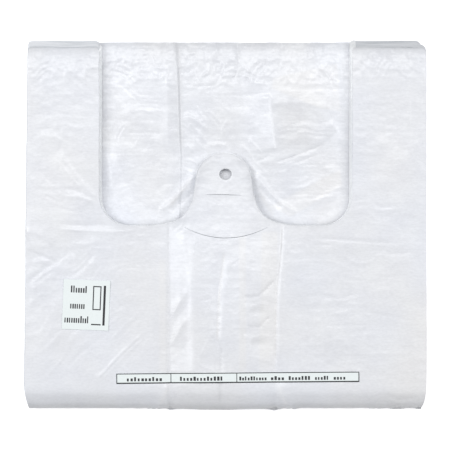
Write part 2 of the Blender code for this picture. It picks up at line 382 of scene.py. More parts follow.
# middle, size, turn, pitch, height
frontWrinkles = [
    ((-116.0, 97.0), (14.0, 9.0), 42, 3.4, 0.26), ((-101.0, 96.0), (11.0, 8.0), 80, 3.6, 0.20),
    ((-86.0, 95.0), (8.0, 12.0), -45, 3.0, 0.16), ((-108.0, 88.0), (14.0, 8.0), 25, 3.4, 0.12),
    ((112.0, 97.0), (14.0, 9.0), -40, 3.4, 0.20), ((97.0, 97.0), (12.0, 8.0), 70, 3.4, 0.18),
    ((86.0, 94.0), (8.0, 10.0), 40, 3.2, 0.14),
    ((-103.0, 30.0), (24.0, 20.0), -48, 3.2, 0.06), ((-96.0, 14.0), (22.0, 9.0), -8, 2.8, 0.08),
    ((-88.0, -12.0), (34.0, 9.0), -4, 3.0, 0.07), ((-112.0, -32.0), (16.0, 20.0), 36, 4.4, 0.20),
    ((-93.0, -24.0), (24.0, 12.0), 46, 4.2, 0.14), ((-74.0, -24.0), (20.0, 16.0), 62, 3.2, 0.08),
    ((-104.0, -74.0), (26.0, 28.0), 48, 3.2, 0.09), ((-66.0, -66.0), (20.0, 30.0), 42, 2.9, 0.07),
    ((-80.0, -84.0), (26.0, 16.0), 40, 3.0, 0.07), ((-60.0, -30.0), (16.0, 30.0), 8, 3.0, 0.05),
    ((-14.0, -6.0), (12.0, 8.0), 60, 2.8, 0.12), ((-27.0, 0.0), (9.0, 10.0), 70, 2.8, 0.16),
    ((27.0, 0.0), (9.0, 10.0), 110, 2.8, 0.16), ((15.0, 6.0), (6.0, 12.0), 100, 3.0, 0.10),
    ((-13.0, 36.0), (7.0, 6.0), 28, 2.6, 0.14), ((12.0, 36.0), (7.0, 6.0), -28, 2.6, 0.14),
    ((-2.0, 23.0), (14.0, 4.0), 70, 3.0, 0.06), ((-24.0, -95.0), (12.0, 18.0), 80, 2.8, 0.07),
    ((-17.0, -50.0), (12.0, 34.0), 0, 2.6, 0.05), ((4.0, -50.0), (12.0, 40.0), 0, 2.8, 0.04),
    ((24.0, -86.0), (10.0, 12.0), -10, 3.0, 0.08), ((26.0, -20.0), (8.0, 18.0), 84, 2.8, 0.06),
    ((84.0, -28.0), (46.0, 26.0), -2, 4.6, 0.11), ((70.0, -62.0), (40.0, 24.0), 0, 4.0, 0.09),
    ((98.0, 6.0), (30.0, 14.0), -4, 3.6, 0.10), ((98.0, -84.0), (30.0, 14.0), 30, 3.4, 0.08),
    ((60.0, -86.0), (30.0, 12.0), -40, 3.4, 0.06), ((102.0, 55.0), (22.0, 40.0), 2, 3.4, 0.05),
    ((-100.0, 66.0), (22.0, 26.0), 0, 2.6, 0.045),
]


def framed(x, s, place, size, turn, margin):
    u, v = turned(x, s, place, turn)
    return ease((size[0] / 2 + margin - np.abs(u)) / 3) * ease((size[1] / 2 + margin - np.abs(v)) / 3)


# the slow rise and fall of the front: all layers of the front leaf follow it
def frontBroad(x, s):
    left, right = columnEdges(s)
    below = ease((7 - s) / 8) * ease((s - (foldStart - foldRun)) / 20)
    middle = 0.5 * (np.tanh((x - left) / 0.65) - np.tanh((x - right) / 0.65))
    dip = 0.15 + 0.75 * np.exp(-np.maximum(x - left, 0) / 4.4) + 0.65 * np.exp(-np.maximum(right - x, 0) / 4.6)
    lift = -below * middle * dip
    tabSide = np.abs(x - tab["middle"]) / 34
    lift -= pack["tabSag"] * ease((s + 48) / 86) * np.exp(-tabSide ** 2.5)
    lift += 0.42 * softNoise(x / 38, s / 31, 11) + 0.17 * softNoise(x / 16, s / 12, 12)
    endAway = np.maximum(pack["open"] - pack["creep"] - s, 0)
    lift -= 3.2 * np.exp(-(endAway / 5.5) ** 1.5)
    sideAway = np.maximum(pack["right"] - np.abs(x), 0)
    lift -= 0.15 * np.exp(-(sideAway / 3.2) ** 1.3)
    away = awayFrom(tabEdge, x, s, 8)
    lift -= 0.5 * np.exp(-(away / 1.6) ** 1.2) * (0.45 + 0.55 * ease((s - 4) / 14))
    return lift


# the sharp small relief that only the outermost film shows
def frontFine(x, s):
    relief = 0.06 * softNoise(x / 7, s / 5, 13)
    patchy = ease(0.45 + 1.3 * softNoise(x / 34, s / 28, 16))
    relief += (0.05 + 0.10 * patchy) * crumple(x, s * 1.25, 6.5, 17)
    relief += 0.022 * ease(0.5 + softNoise(x / 30, s / 22, 14)) * softNoise(x / 26, s / 1.25, 15)
    band = ease((s - 87) / 12)
    relief += 0.42 * band * crumple(x * 0.9 + s * 0.25, s, 5.2, 21)
    for points, height, leftWidth, rightWidth, fade in frontCreases:
        relief += crease(x, s, points, height, leftWidth, rightWidth, fade)
    for middlePoint, size, turn, depth in frontDents:
        relief += dent(x, s, middlePoint, size, turn, depth)
    for number, (middlePoint, size, turn, pitch, height) in enumerate(frontWrinkles):
        relief += wrinkles(x, s, middlePoint, size, turn, pitch, height, seed=60 + 5 * number)
    for label in (squareLabel, stripLabel):
        under = framed(x, s, label["place"], label["size"], label["turn"], 1.0)
        relief = relief * (1 - under) - 0.10 * under
    return 1.5 * relief * ease((s - (foldStart - foldRun)) / 14)


# the innermost bag's film, seen between the handles
backCreases = [
    # the gusset edge, a step down to the right
    ([(-31.0, 116), (-29.6, 100), (-28.8, 88), (-28.0, 60), (-27.4, 44)], -0.10, 0.8, 0.8, 0.05),
    ([(-38.0, 116), (-36.0, 88), (-35.0, 44)], 0.34, 5.0, 3.0, 0.1),
    ([(7.6, 114), (8.2, 101), (7.0, 95), (4.6, 89)], -0.40, 1.0, 0.9, 0.12),
    # the ridge to the right, sharp on its far side
    ([(27.2, 82), (27.4, 74), (29.4, 58), (31.0, 45)], 0.55, 1.3, 12.0, 0.08),
    ([(27.6, 75.6), (50.0, 75.6), (68.0, 72.0)], 0.36, 9.0, 1.3, 0.15),
    ([(66.0, 66.0), (71.0, 57.0), (74.0, 51.0)], 0.20, 1.4, 4.0, 0.2),
    # the pairs of folds beside the tab
    ([(-18.6, 31), (-26.0, 22.0), (-33.5, 13.5), (-42.0, 8.0)], 0.62, 2.6, 1.3, 0.10),
    ([(-20.0, 20), (-27.0, 14.0), (-35.0, 7.0)], -0.42, 1.4, 2.2, 0.15),
    ([(18.4, 32), (26.0, 22.5), (33.0, 14.8), (46.0, 6.5)], 0.62, 1.3, 2.6, 0.10),
    ([(20.6, 24), (28.0, 15.5), (36.0, 9.5)], -0.42, 2.0, 1.2, 0.15),
    # fine sharp creases that run out to the right of the tab
    ([(19.0, 39), (24.0, 40.6), (28.0, 43.5)], -0.26, 0.7, 0.8, 0.2),
    ([(30.0, 38), (46.0, 43.5), (63.0, 50.5)], -0.24, 0.7, 0.9, 0.15),
    ([(34.0, 38.6), (47.0, 44.0)], -0.20, 0.7, 0.8, 0.2),
    ([(44.0, 38.0), (58.0, 44.0)], -0.18, 0.7, 0.8, 0.2),
    ([(36.0, 20.0), (52.0, 24.0), (74.0, 35.5)], 0.30, 3.0, 4.0, 0.2),
    ([(40.0, 12.0), (58.0, 15.0), (76.0, 20.0)], 0.30, 3.0, 4.0, 0.2),
    # bright short creases up and left of the tab
    ([(-26.0, 69), (-18.0, 65), (-10.5, 58.5)], 0.50, 1.6, 1.4, 0.2),
    ([(-24.0, 64), (-17.0, 57.5), (-11.0, 50.0)], 0.36, 1.2, 1.2, 0.2),
    ([(-22.0, 56), (-16.0, 50.0), (-12.0, 46.0)], 0.24, 1.0, 1.0, 0.2),
    ([(-25.0, 50), (-19.0, 45.0)], 0.26, 1.6, 1.4, 0.2),
    ([(-13.0, 48.6), (-5.0, 50.0), (3.0, 48.8)], 0.34, 1.4, 1.4, 0.2),
    ([(2.0, 66), (-1.4, 60), (-0.6, 55)], 0.20, 0.8, 0.8, 0.2),
    ([(-4.4, 72), (-2.4, 64)], -0.16, 0.7, 0.7, 0.2),
    ([(14.0, 54), (19.0, 49), (24.0, 43)], 0.26, 0.8, 1.0, 0.2),
    ([(9.0, 50), (14.0, 46), (18.0, 40)], 0.26, 1.0, 1.0, 0.2),
    # folds under the welded end
    ([(-27.0, 88), (-14.0, 86.0), (-2.0, 87.0), (5.0, 85.0)], -0.22, 0.9, 1.2, 0.15),
    ([(9.0, 101), (14.0, 96.0), (22.0, 93.0), (27.0, 97.0)], 0.36, 1.4, 1.6, 0.2),
    ([(11.0, 95), (18.0, 89.0), (26.0, 88.0)], 0.30, 1.4, 1.6, 0.2),
    ([(-55.0, 98), (-48.0, 96.0), (-40.0, 89.0)], 0.30, 1.2, 1.4, 0.2),
    ([(-62.0, 88.0), (-50.0, 90.5), (-38.0, 90.0)], 0.30, 4.0, 1.2, 0.2),
    ([(60.0, 101), (66.0, 94.0), (72.0, 84.0)], 0.26, 1.2, 1.2, 0.2),
    ([(54.0, 90.0), (60.0, 95.0)], 0.18, 0.9, 0.9, 0.25),
    # long bright swells down the left lobe
    ([(-72.0, 46.0), (-70.0, 24.0), (-60.0, 8.0), (-52.0, 2.0)], 0.40, 6.0, 2.6, 0.15),
    ([(-64.0, 72.0), (-50.0, 70.0), (-37.0, 71.0)], 0.26, 6.0, 4.0, 0.2),
    ([(-62.0, 57.0), (-48.0, 57.4), (-37.0, 56.0)], -0.24, 2.2, 2.0, 0.2),
]
backWrinkles = [
    ((-7.0, 97.0), (24.0, 10.0), 78, 3.4, 0.46), ((18.0, 95.0), (12.0, 9.0), 60, 3.4, 0.40),
    ((-22.0, 95.0), (10.0, 9.0), 110, 3.2, 0.34), ((-8.0, 88.0), (22.0, 6.0), 10, 3.2, 0.24),
    ((-42.0, 96.0), (16.0, 8.0), -58, 3.6, 0.34), ((-62.0, 98.0), (16.0, 9.0), -32, 3.6, 0.36),
    ((-64.0, 82.0), (14.0, 12.0), -50, 3.4, 0.18), ((44.0, 98.0), (18.0, 8.0), 70, 3.4, 0.22),
    ((66.0, 96.0), (12.0, 14.0), -58, 3.2, 0.26), ((-70.0, 60.0), (8.0, 40.0), 60, 3.2, 0.14),
    ((-17.0, 62.0), (14.0, 16.0), -44, 3.2, 0.26), ((-1.0, 66.0), (14.0, 16.0), -58, 3.2, 0.12),
    ((-22.0, 36.0), (8.0, 16.0), -30, 2.8, 0.14), ((21.0, 40.0), (10.0, 14.0), -48, 2.8, 0.16),
    ((38.0, 43.0), (20.0, 8.0), 24, 3.0, 0.12), ((-50.0, 28.0), (26.0, 24.0), 0, 2.6, 0.08),
    ((-52.0, 68.0), (22.0, 22.0), -6, 2.8, 0.10), ((54.0, 28.0), (26.0, 26.0), 8, 2.6, 0.09),
    ((50.0, 60.0), (24.0, 16.0), 0, 2.8, 0.08), ((56.0, 82.0), (22.0, 12.0), 8, 3.0, 0.10),
    ((14.0, 64.0), (12.0, 18.0), -12, 2.8, 0.09), ((-34.0, 4.0), (12.0, 8.0), 40, 2.8, 0.14),
    ((36.0, 4.0), (12.0, 8.0), -40, 2.8, 0.14),
]


def backBroad(x, y):
    leftEdge = np.interp(y, [0, 44, 60, 88, 100, 116], [-28.4, -27.4, -28.0, -28.8, -29.6, -31.0])
    middle = 0.5 * (np.tanh((x - leftEdge) / 0.9) - np.tanh((x - 34) / 7))
    lift = -pack["rearDip"] * middle
    lift += 0.40 * softNoise(x / 30, y / 27, 31) + 0.18 * softNoise(x / 14, y / 11, 32)
    endAway = np.maximum(pack["open"] - y, 0)
    return lift - 2.6 * np.exp(-(endAway / 5.5) ** 1.5) - 0.15


def backFine(x, y):
    relief = 0.07 * softNoise(x / 6, y / 4.4, 33)
    relief += 0.07 * crumple(x, y * 1.2, 6.0, 39)
    relief += 0.03 * softNoise(x / 24, y / 1.3, 35)
    band = ease((y - 82) / 10)
    relief += 0.26 * band * crumple(x * 0.9 - y * 0.2, y, 5.0, 36)
    for points, height, leftWidth, rightWidth, fade in backCreases:
        relief += crease(x, y, points, height, leftWidth, rightWidth, fade)
    for number, (middlePoint, size, turn, pitch, height) in enumerate(backWrinkles):
        relief += 0.8 * wrinkles(x, y, middlePoint, size, turn, pitch, height, seed=360 + 5 * number)
    return 1.6 * relief


# ---- painted shading: light and shade painted into the film's colour where its folds and facets would catch or lose the light, with a warm tint (patches first, then lines)
frontPaintedShadingPatches = [
    # corners, softness, lighter or darker, warmth
    ([(-34.8, -1.9), (-26.1, -4.4), (-21.8, -35.5), (-24.3, -44.2), (-33.6, -54.2)], 1.6, 0.08, 0.0),
    ([(-33.0, -69.1), (-31.7, -61.6), (-21.1, -48.0), (-19.9, -52.9), (-23.0, -59.2)], 1.6, 0.08, 0.0),
    ([(-33.6, -91.5), (-33.6, -86.5), (-21.1, -71.6), (-19.9, -81.5), (-20.5, -92.1)], 1.6, 0.09, 0.0),
    ([(8.7, -8.0), (13.0, -8.0), (13.0, -92.0), (8.7, -92.0)], 1.4, 0.01, 1.0),
    ([(23.0, -5.0), (33.0, -5.0), (31.0, -92.0), (21.0, -92.0)], 2.0, 0.015, 1.0),
    ([(-41.0, -22.0), (-36.6, -22.0), (-36.6, -92.0), (-41.0, -92.0)], 2.4, 0.015, 0.8),
    ([(-123.8, -1.9), (-116.3, 0.6), (-108.8, -14.4), (-120.0, -13.1)], 1.2, 0.04, 0.0),
    ([(-106.4, -28.0), (-101.4, -21.2), (-93.3, -17.5), (-92.7, -25.6)], 1.2, 0.035, 0.0),
    ([(-85.2, -24.3), (-82.7, -19.3), (-77.1, -18.1), (-76.5, -25.6)], 1.2, 0.03, 0.0),
    ([(-122.5, -56.7), (-106.4, -54.2), (-107.6, -81.5), (-120.0, -89.0)], 7.0, 0.03, 0.0),
    ([(-121.3, 46.0), (-101.4, 44.7), (-80.2, 16.1), (-102.6, 5.5), (-122.5, 5.5)], 1.4, 0.018, 0.0),
    ([(112.0, -46.0), (140.0, -30.0), (140.0, -108.0), (104.0, -108.0)], 26.0, 0.01, 1.3),
    ([(48.0, -8.0), (112.0, -12.0), (112.0, -20.0), (50.0, -17.0)], 5.0, -0.02, 0.0),
    ([(44.0, -24.0), (120.0, -28.0), (120.0, -36.0), (44.0, -33.0)], 6.0, 0.015, 0.0),
    ([(46.0, -46.0), (112.0, -42.0), (112.0, -52.0), (46.0, -55.0)], 6.0, -0.015, 0.0),
]
# painted highlights and painted shade along the front film's creases and gusset edges
frontPaintedShadingLines = [
    # points, lighter or darker, width on the left and on the right, fade, warmth
    ([(-22.4, -3.8), (-21.8, -47.3), (-20.5, -92.0)], 0.09, 1.8, 1.6, 0.12, 0.0),
    ([(-24.3, -43.0), (-29.2, -49.2), (-33.6, -56.7)], -0.045, 2.0, 2.0, 0.15, 0.0),
    ([(-24.3, -59.2), (-29.2, -66.6), (-33.6, -74.1)], -0.045, 2.0, 2.0, 0.15, 0.0),
    ([(0.0, -15.0), (-3.7, -44.2), (-5.0, -74.1)], -0.09, 0.5, 0.5, 0.12, 1.5),
    ([(1.9, -17.0), (-1.6, -44.0), (-3.1, -74.0)], 0.08, 1.0, 1.1, 0.15, 0.0),
    ([(-2.5, -75.3), (-3.1, -92.0), (-3.2, -112.0)], -0.07, 0.7, 0.8, 0.1, 0.0),
    ([(35.5, 1), (35.0, -13), (33.8, -24), (32.2, -40), (31.2, -60), (31.4, -86)], -0.11, 0.6, 0.5, 0.06, 0.6),
    ([(37.2, 1), (36.6, -13), (35.3, -24), (33.8, -40), (32.9, -60), (33.0, -86)], 0.06, 0.8, 0.6, 0.08, 0.0),
    ([(-35.7, -1), (-35.7, -60), (-35.7, -96)], -0.10, 0.45, 0.6, 0.03, 0.0),
    ([(-79.0, -96.5), (-65.0, -82.4), (-51.0, -67.9)], -0.06, 0.45, 0.45, 0.15, 0.0),
    ([(-107.6, -4.4), (-80.0, -5.0), (-50.0, -5.6)], -0.035, 0.4, 0.4, 0.2, 0.0),
    ([(-107.0, -6.9), (-80.0, -6.6), (-56.0, -6.3)], -0.03, 0.4, 0.4, 0.2, 0.0),
    ([(-34.8, -99.6), (-41.0, -112.0)], 0.07, 1.0, 1.2, 0.15, 0.8),
    ([(33.0, -100.2), (38.6, -112.0)], 0.07, 1.0, 1.2, 0.15, 0.8),
    ([(11.2, -45.2), (20.5, -44.8), (24.9, -41.1), (31.1, -34.6)], -0.08, 0.5, 0.8, 0.12, 0.0),
    ([(12.8, -63.7), (21.5, -63.7), (28.0, -57.2)], -0.07, 0.5, 0.8, 0.15, 0.0),
    ([(14.0, -52.5), (20.0, -53.6), (26.0, -52.6)], -0.06, 3.0, 3.0, 0.3, 0.0),
    ([(14.0, -72.2), (20.0, -73.4), (26.0, -72.4)], -0.06, 3.0, 3.0, 0.3, 0.0),
]
# painted highlights and painted shade on the inner film's facets, seen through the cut
backPaintedShadingPatches = [
    ([(9.6, 93.7), (27.9, 87.0), (31.3, 47.9), (12.3, 70.3)], 1.6, 0.045, 0.0),
    ([(27.9, 75.9), (59.2, 70.3), (70.4, 58.0), (59.2, 46.8), (32.3, 46.8)], 1.4, -0.05, 0.0),
    ([(30.3, 91.5), (70.4, 100.5), (72.4, 66.9), (59.2, 72.5), (27.9, 77.0)], 1.6, 0.03, 1.0),
    ([(27.9, 10.9), (72.4, 34.3), (73.4, 24.4), (41.3, 4.3)], 2.0, 0.03, 1.0),
    ([(40.0, 2.0), (76.0, 18.0), (74.0, 8.0), (64.0, 0.0)], 2.0, 0.02, 0.3),
    ([(-70.5, 98.2), (-36.9, 98.2), (-36.9, 60.1), (-63.8, 66.9)], 2.4, 0.035, 0.0),
    ([(-64.9, 66.9), (-36.9, 59.1), (-36.9, 49.0), (-61.6, 51.3)], 1.6, -0.02, 0.0),
    ([(-62.0, 48.0), (-33.0, 48.0), (-34.0, 16.0), (-52.0, 10.0)], 1.6, 0.015, 0.0),
    ([(-36.0, 87.0), (-30.6, 87.0), (-29.4, 50.3), (-36.0, 50.3)], 1.0, -0.035, 0.0),
]
# painted shade and painted highlights along the inner film's gusset edge and the folds beside the tab
backPaintedShadingLines = [
    ([(-29.2, 115.0), (-29.0, 100.0), (-28.6, 80.0), (-28.4, 60.0), (-27.2, 44.0)], -0.12, 1.6, 1.6, 0.1, 0.3),
    ([(-72.4, 53.0), (-68.0, 40.0), (-62.0, 24.0), (-50.4, 10.0), (-36.0, 3.0)], 0.045, 0.8, 8.0, 0.12, 0.0),
    ([(-19.1, 36.7), (-27.0, 26.0), (-35.9, 15.5), (-42.0, 9.0)], 0.08, 1.6, 1.2, 0.15, 0.0),
    ([(-19.6, 30.0), (-27.0, 20.0), (-36.0, 10.0)], -0.05, 1.0, 1.8, 0.2, 0.8),
    ([(17.9, 36.7), (25.0, 24.0), (32.3, 10.9), (38.0, 4.0)], 0.08, 1.4, 1.4, 0.15, 0.0),
    ([(21.2, 19.9), (26.0, 12.0), (31.0, 4.3)], -0.05, 1.6, 1.0, 0.2, 0.8),
    ([(8.2, 113.7), (8.4, 101.0), (7.0, 95.0), (5.0, 90.0)], -0.07, 0.6, 0.6, 0.15, 0.0),
    ([(27.9, 76.0), (29.0, 60.0), (31.3, 47.9)], 0.04, 0.8, 5.0, 0.1, 0.0),
    ([(33.6, 38.2), (47.0, 43.6), (63.0, 50.0)], -0.05, 0.5, 0.6, 0.15, 0.4),
    ([(44.0, 37.6), (58.0, 43.4)], -0.04, 0.5, 0.6, 0.2, 0.4),
]


# a soft-edged patch inside a convex outline, from 0 to 1
def patch(x, y, corners, soft):
    middleX, middleY = np.mean(corners, 0)
    mask = np.ones(x.shape)
    for (ax, ay), (bx, by) in zip(corners, corners[1:] + corners[:1]):
        length = math.dist((ax, ay), (bx, by))
        across = ((bx - ax) * (y - ay) - (by - ay) * (x - ax)) / length
        inwards = ((bx - ax) * (middleY - ay) - (by - ay) * (middleX - ax)) / length
        mask = mask * ease(0.5 + across * math.copysign(1, inwards) / soft)
    return mask


# the painted light and shade of a film, with its warm tint, as a factor for its colour
def paintedShadingAndTint(x, y, patches, lines):
    tone, warmth = np.zeros(x.shape), np.zeros(x.shape)
    for corners, soft, amount, warm in patches:
        mask = patch(x, y, corners, soft)
        tone += amount * mask
        warmth += warm * mask
    for points, amount, leftWidth, rightWidth, fade, warm in lines:
        mask = crease(x, y, points, 1.0, leftWidth, rightWidth, fade)
        tone += amount * mask
        warmth += warm * mask
    return tone, warmth


# distance to a line, worked out only within reach of it
def awayFrom(line, x, y, reach):
    away = np.full(x.shape, 99.0)
    xs, ys = [p[0] for p in line], [p[1] for p in line]
    near = (x > min(xs) - reach) & (x < max(xs) + reach) & (y > min(ys) - reach) & (y < max(ys) + reach)
    if near.any():
        away[near] = np.abs(nearLine(x[near], y[near], line)[0])
    return away


def frontPaintedShadingAndTint(x, s):
    tone, warmth = paintedShadingAndTint(x, s, frontPaintedShadingPatches, frontPaintedShadingLines)
    # painted shade where the film turns down at the open end
    endAway = np.maximum(pack["open"] - pack["creep"] - s, 0)
    tone -= 0.14 * np.exp(-(endAway / 5.5) ** 1.6)
    # painted shade along the cut edges, strongest round the tab
    away = awayFrom(cutEdge, x, s, 8)
    tone -= 0.17 * np.exp(-(away / 3.0) ** 1.4) * (0.3 + 0.7 * ease((s - 4) / 10)) * ease((50 - np.abs(x)) / 10)
    tone -= 0.06 * np.exp(-(away / 1.4) ** 1.4) * ease((6 - s) / 5)
    # painted shade that deepens as the film turns over the fold
    turnedBy = clamp((foldStart - s) / foldRun) * 180
    tone -= 0.11 * ease((turnedBy - 10) / 18) + 0.14 * ease((turnedBy - 42) / 20) + 0.10 * ease((turnedBy - 58) / 20)
    warmth += 0.6 * softNoise(x / 26, s / 34, 71)
    tone += 0.012 * softNoise(x / 17, s / 12, 72)
    return tone, warmth


def backPaintedShadingAndTint(x, y):
    tone, warmth = paintedShadingAndTint(x, y, backPaintedShadingPatches, backPaintedShadingLines)
    # painted shade where the inner film turns down at the open end
    endAway = np.maximum(pack["open"] - y, 0)
    tone -= 0.20 * np.exp(-(endAway / 5.5) ** 1.6)
    # a painted highlight beside the tab edges, painted shade at the foot of the cut walls and on the right of the cut
    away = awayFrom(cutEdge, x, y, 16)
    foot = ease((8 - y) / 8)
    tone += 0.04 * np.exp(-(away / 4.5) ** 2) * (1 - foot) * ease((40 - np.abs(x)) / 8)
    tone -= 0.17 * np.exp(-(away / 3.2) ** 1.3) * foot
    tone -= 0.03 * np.exp(-(away / 4.0) ** 1.3) * ease((x - 50) / 10)
    warmth += 0.7 * softNoise(x / 22, y / 30, 73)
    tone += 0.014 * softNoise(x / 15, y / 11, 74)
    return tone, warmth


edgeSoft = {"side": 0.20, "end": 0.6, "cut": 0.30, "hole": 0.35, "slit": 0.06}
edgeRough = {"side": 0.20, "end": 0.32, "cut": 0.15, "hole": 0.06, "slit": 0.01}
wallLean = 1.3       # how far the inner bags reach into the cut beside the handles


# how far an edge stands back at each layer: rounded at the outside, and ragged from bag to bag
def edgeBack(zones, along, depth, layer, seed):
    soft = np.array([edgeSoft[z] for z in zones])
    rough = np.array([edgeRough[z] for z in zones])
    back = soft * np.maximum(1 - depth / 1.7, 0) ** 2
    waves = 0.5 + 0.5 * softNoise(along / 34, layer * 0.45, seed) + 0.35 * softNoise(along / 9, layer * 0.8, seed + 1)
    own = np.random.default_rng(seed * 1000 + int(layer)).uniform(0, 1)
    return back + rough * (waves + 0.9 * own ** 2)


class Loop:
    def __init__(self, points, zones):
        self.points = np.array(points)
        self.zones = zones
        self.normals = outward(self.points)
        steps = np.linalg.norm(np.roll(self.points, -1, 0) - self.points, axis=1)
        self.along = np.concatenate([[0], np.cumsum(steps)[:-1]])
        x, y = self.points.T
        isWall = (np.array(zones) == "cut") & (np.abs(x) > 58)
        self.lean = wallLean * isWall * ease((y - 2) / 16) * np.abs(self.normals[:, 0])

    def at(self, depth, layer, seed):
        back = edgeBack(self.zones, self.along, depth, layer, seed)
        back -= self.lean * min(depth / pack["leaf"] * 1.05, 1.0)
        return self.points - self.normals * back[:, None]


def packLoops(step):
    points, zones = packOutline(step)
    loops = [Loop(points, zones)]
    x, y, rx, ry = tab["hole"]
    loops.append(Loop(arcPoints(x, y, rx, ry, 360, 0, 48)[:-1], ["hole"] * 48))
    for line in (tab["slit"], tearLine()):
        points, zones = narrowSlit(line, 0.8)
        loops.append(Loop(points, zones))
    return loops


def insideLoop(x, y, loop):
    inside = np.zeros(x.shape, bool)
    ax, ay = loop[:, 0], loop[:, 1]
    bx, by = np.roll(ax, -1), np.roll(ay, -1)
    for k in range(len(loop)):
        crosses = (ay[k] > y) != (by[k] > y)
        if by[k] != ay[k]:
            inside ^= crosses & (x < (bx[k] - ax[k]) * (y - ay[k]) / (by[k] - ay[k]) + ax[k])
    return inside


# fills an outline with even triangles: fine where wanted, coarse elsewhere
def filled(outlines, fineArea, fine, coarse, features, seed):
    random = np.random.default_rng(seed)
    rim = np.concatenate(outlines)
    tree = KDTree(len(rim))
    for k, (x, y) in enumerate(rim):
        tree.insert((x, y, 0), k)
    tree.balance()
    seeds = []
    if len(features):
        kept = []
        for x, y in features:
            if tree.find((x, y, 0))[2] > 0.55 and fineArea(np.array([x]), np.array([y]))[0]:
                kept.append((x, y))
        seeds.append(np.array(kept))
        tree = KDTree(len(rim) + len(kept))
        for k, (x, y) in enumerate(list(map(tuple, rim)) + kept):
            tree.insert((x, y, 0), k)
        tree.balance()
    for spacing, wanted in ((fine, True), (coarse, False)):
        if spacing is None:
            continue
        rows = np.arange(rearEnd, pack["open"], spacing * 0.866)
        columns = np.arange(pack["left"], pack["right"], spacing)
        grid, row = np.meshgrid(columns, rows)
        grid = grid + (np.arange(len(rows)) % 2)[:, None] * spacing / 2
        x = grid.ravel() + random.uniform(-0.12, 0.12, grid.size) * spacing
        y = row.ravel() + random.uniform(-0.12, 0.12, grid.size) * spacing
        inFine = fineArea(x, y)
        keep = inFine if wanted else ~inFine
        x, y = x[keep], y[keep]
        clear = np.array([tree.find((a, b, 0))[2] for a, b in zip(x, y)]) > 0.55 * min(spacing, 1.8)
        seeds.append(np.stack([x[clear], y[clear]], 1))
    inner = np.concatenate(seeds)
    inner = inner[insideLoop(inner[:, 0], inner[:, 1], outlines[0])]
    for hole in outlines[1:]:
        inner = inner[~insideLoop(inner[:, 0], inner[:, 1], hole)]
    points = np.concatenate([rim, inner])
    edges, start = [], 0
    for outline in outlines:
        edges += [(start + k, start + (k + 1) % len(outline)) for k in range(len(outline))]
        start += len(outline)
    result = delaunay_2d_cdt([Vector(p) for p in points], edges, [], 0, 1e-6, True)
    order = np.array([source[0] if source else -1 for source in result[3]])
    assert len(order) == len(points) and (order >= 0).all()
    triangles = order[np.array(result[2])]
    # only faces that join rim points alone can lie outside the film or in a hole
    doubtful = np.flatnonzero((triangles < len(rim)).all(1))
    middle = points[triangles[doubtful]].mean(1)
    solid = insideLoop(middle[:, 0], middle[:, 1], outlines[0])
    for hole in outlines[1:]:
        solid &= ~insideLoop(middle[:, 0], middle[:, 1], hole)
    keep = np.ones(len(triangles), bool)
    keep[doubtful[~solid]] = False
    triangles = triangles[keep]
    return points, triangles


# ---- one layer of the folded stack as a closed solid, between two depths
def makeLayer(loops, depths, fineOut, fineIn, spacing, features, dish, seed):
    places, triangles, slots = [], [], []
    counts = [len(l.points) for l in loops]
    rimSlots = [np.array([1 if zone in ("side", "end") else 2 for zone in l.zones]) for l in loops]
    rimCount = sum(counts)
    total = 0
    rows = [[l.at(depth, layer, seed + 40 * k) for k, l in enumerate(loops)] for depth, layer in depths]
    rims = []
    for outer in (True, False):
        outlines = rows[0] if outer else rows[-1]
        depth = depths[0][0] if outer else depths[-1][0]
        fineArea = fineOut if outer else fineIn
        own = features if fineArea is not nowhere else []
        points, faces = filled(outlines, fineArea, spacing, 5.0, own, seed + 7)
        x, s = points[:, 0], points[:, 1]
        sunk = np.zeros(len(points))
        tree = KDTree(rimCount)
        for k in range(rimCount):
            tree.insert((x[k], s[k], 0), k)
        tree.balance()
        near = np.array([tree.find((a, b, 0))[2] for a, b in zip(x, s)])
        hidden = ~fineArea(x, s)
        sunk[hidden] = dish[0 if outer else 1] * ease((near[hidden] - 0.3) / 2.5)
        shown = np.where(hidden & (near > 0.01), 0.0, 1.0)
        places.append((x, s, np.full(len(x), depth) + sunk, shown))
        triangles.append(faces + total if outer else faces[:, ::-1] + total)
        slots.append(np.zeros(len(faces), int))
        rims.append(total)
        total += len(points)
    starts = [rims[0]]
    for row, (depth, layer) in zip(rows[1:-1], depths[1:-1]):
        points = np.concatenate(row)
        starts.append(total)
        places.append((points[:, 0], points[:, 1], np.full(len(points), depth), np.ones(len(points))))
        total += len(points)
    starts.append(rims[1])
    for upper, lower in zip(starts, starts[1:]):
        first = 0
        for count, rimSlot in zip(counts, rimSlots):
            k = np.arange(count)
            j = (k + 1) % count
            a, b, c, d = lower + first + k, lower + first + j, upper + first + j, upper + first + k
            triangles += [np.stack([a, b, c], 1), np.stack([a, c, d], 1)]
            slots += [rimSlot, rimSlot]
            first += count
    x, s, depth, shown = (np.concatenate([p[k] for p in places]) for k in range(4))
    return x, s, depth, shown, np.concatenate(triangles), np.concatenate(slots)


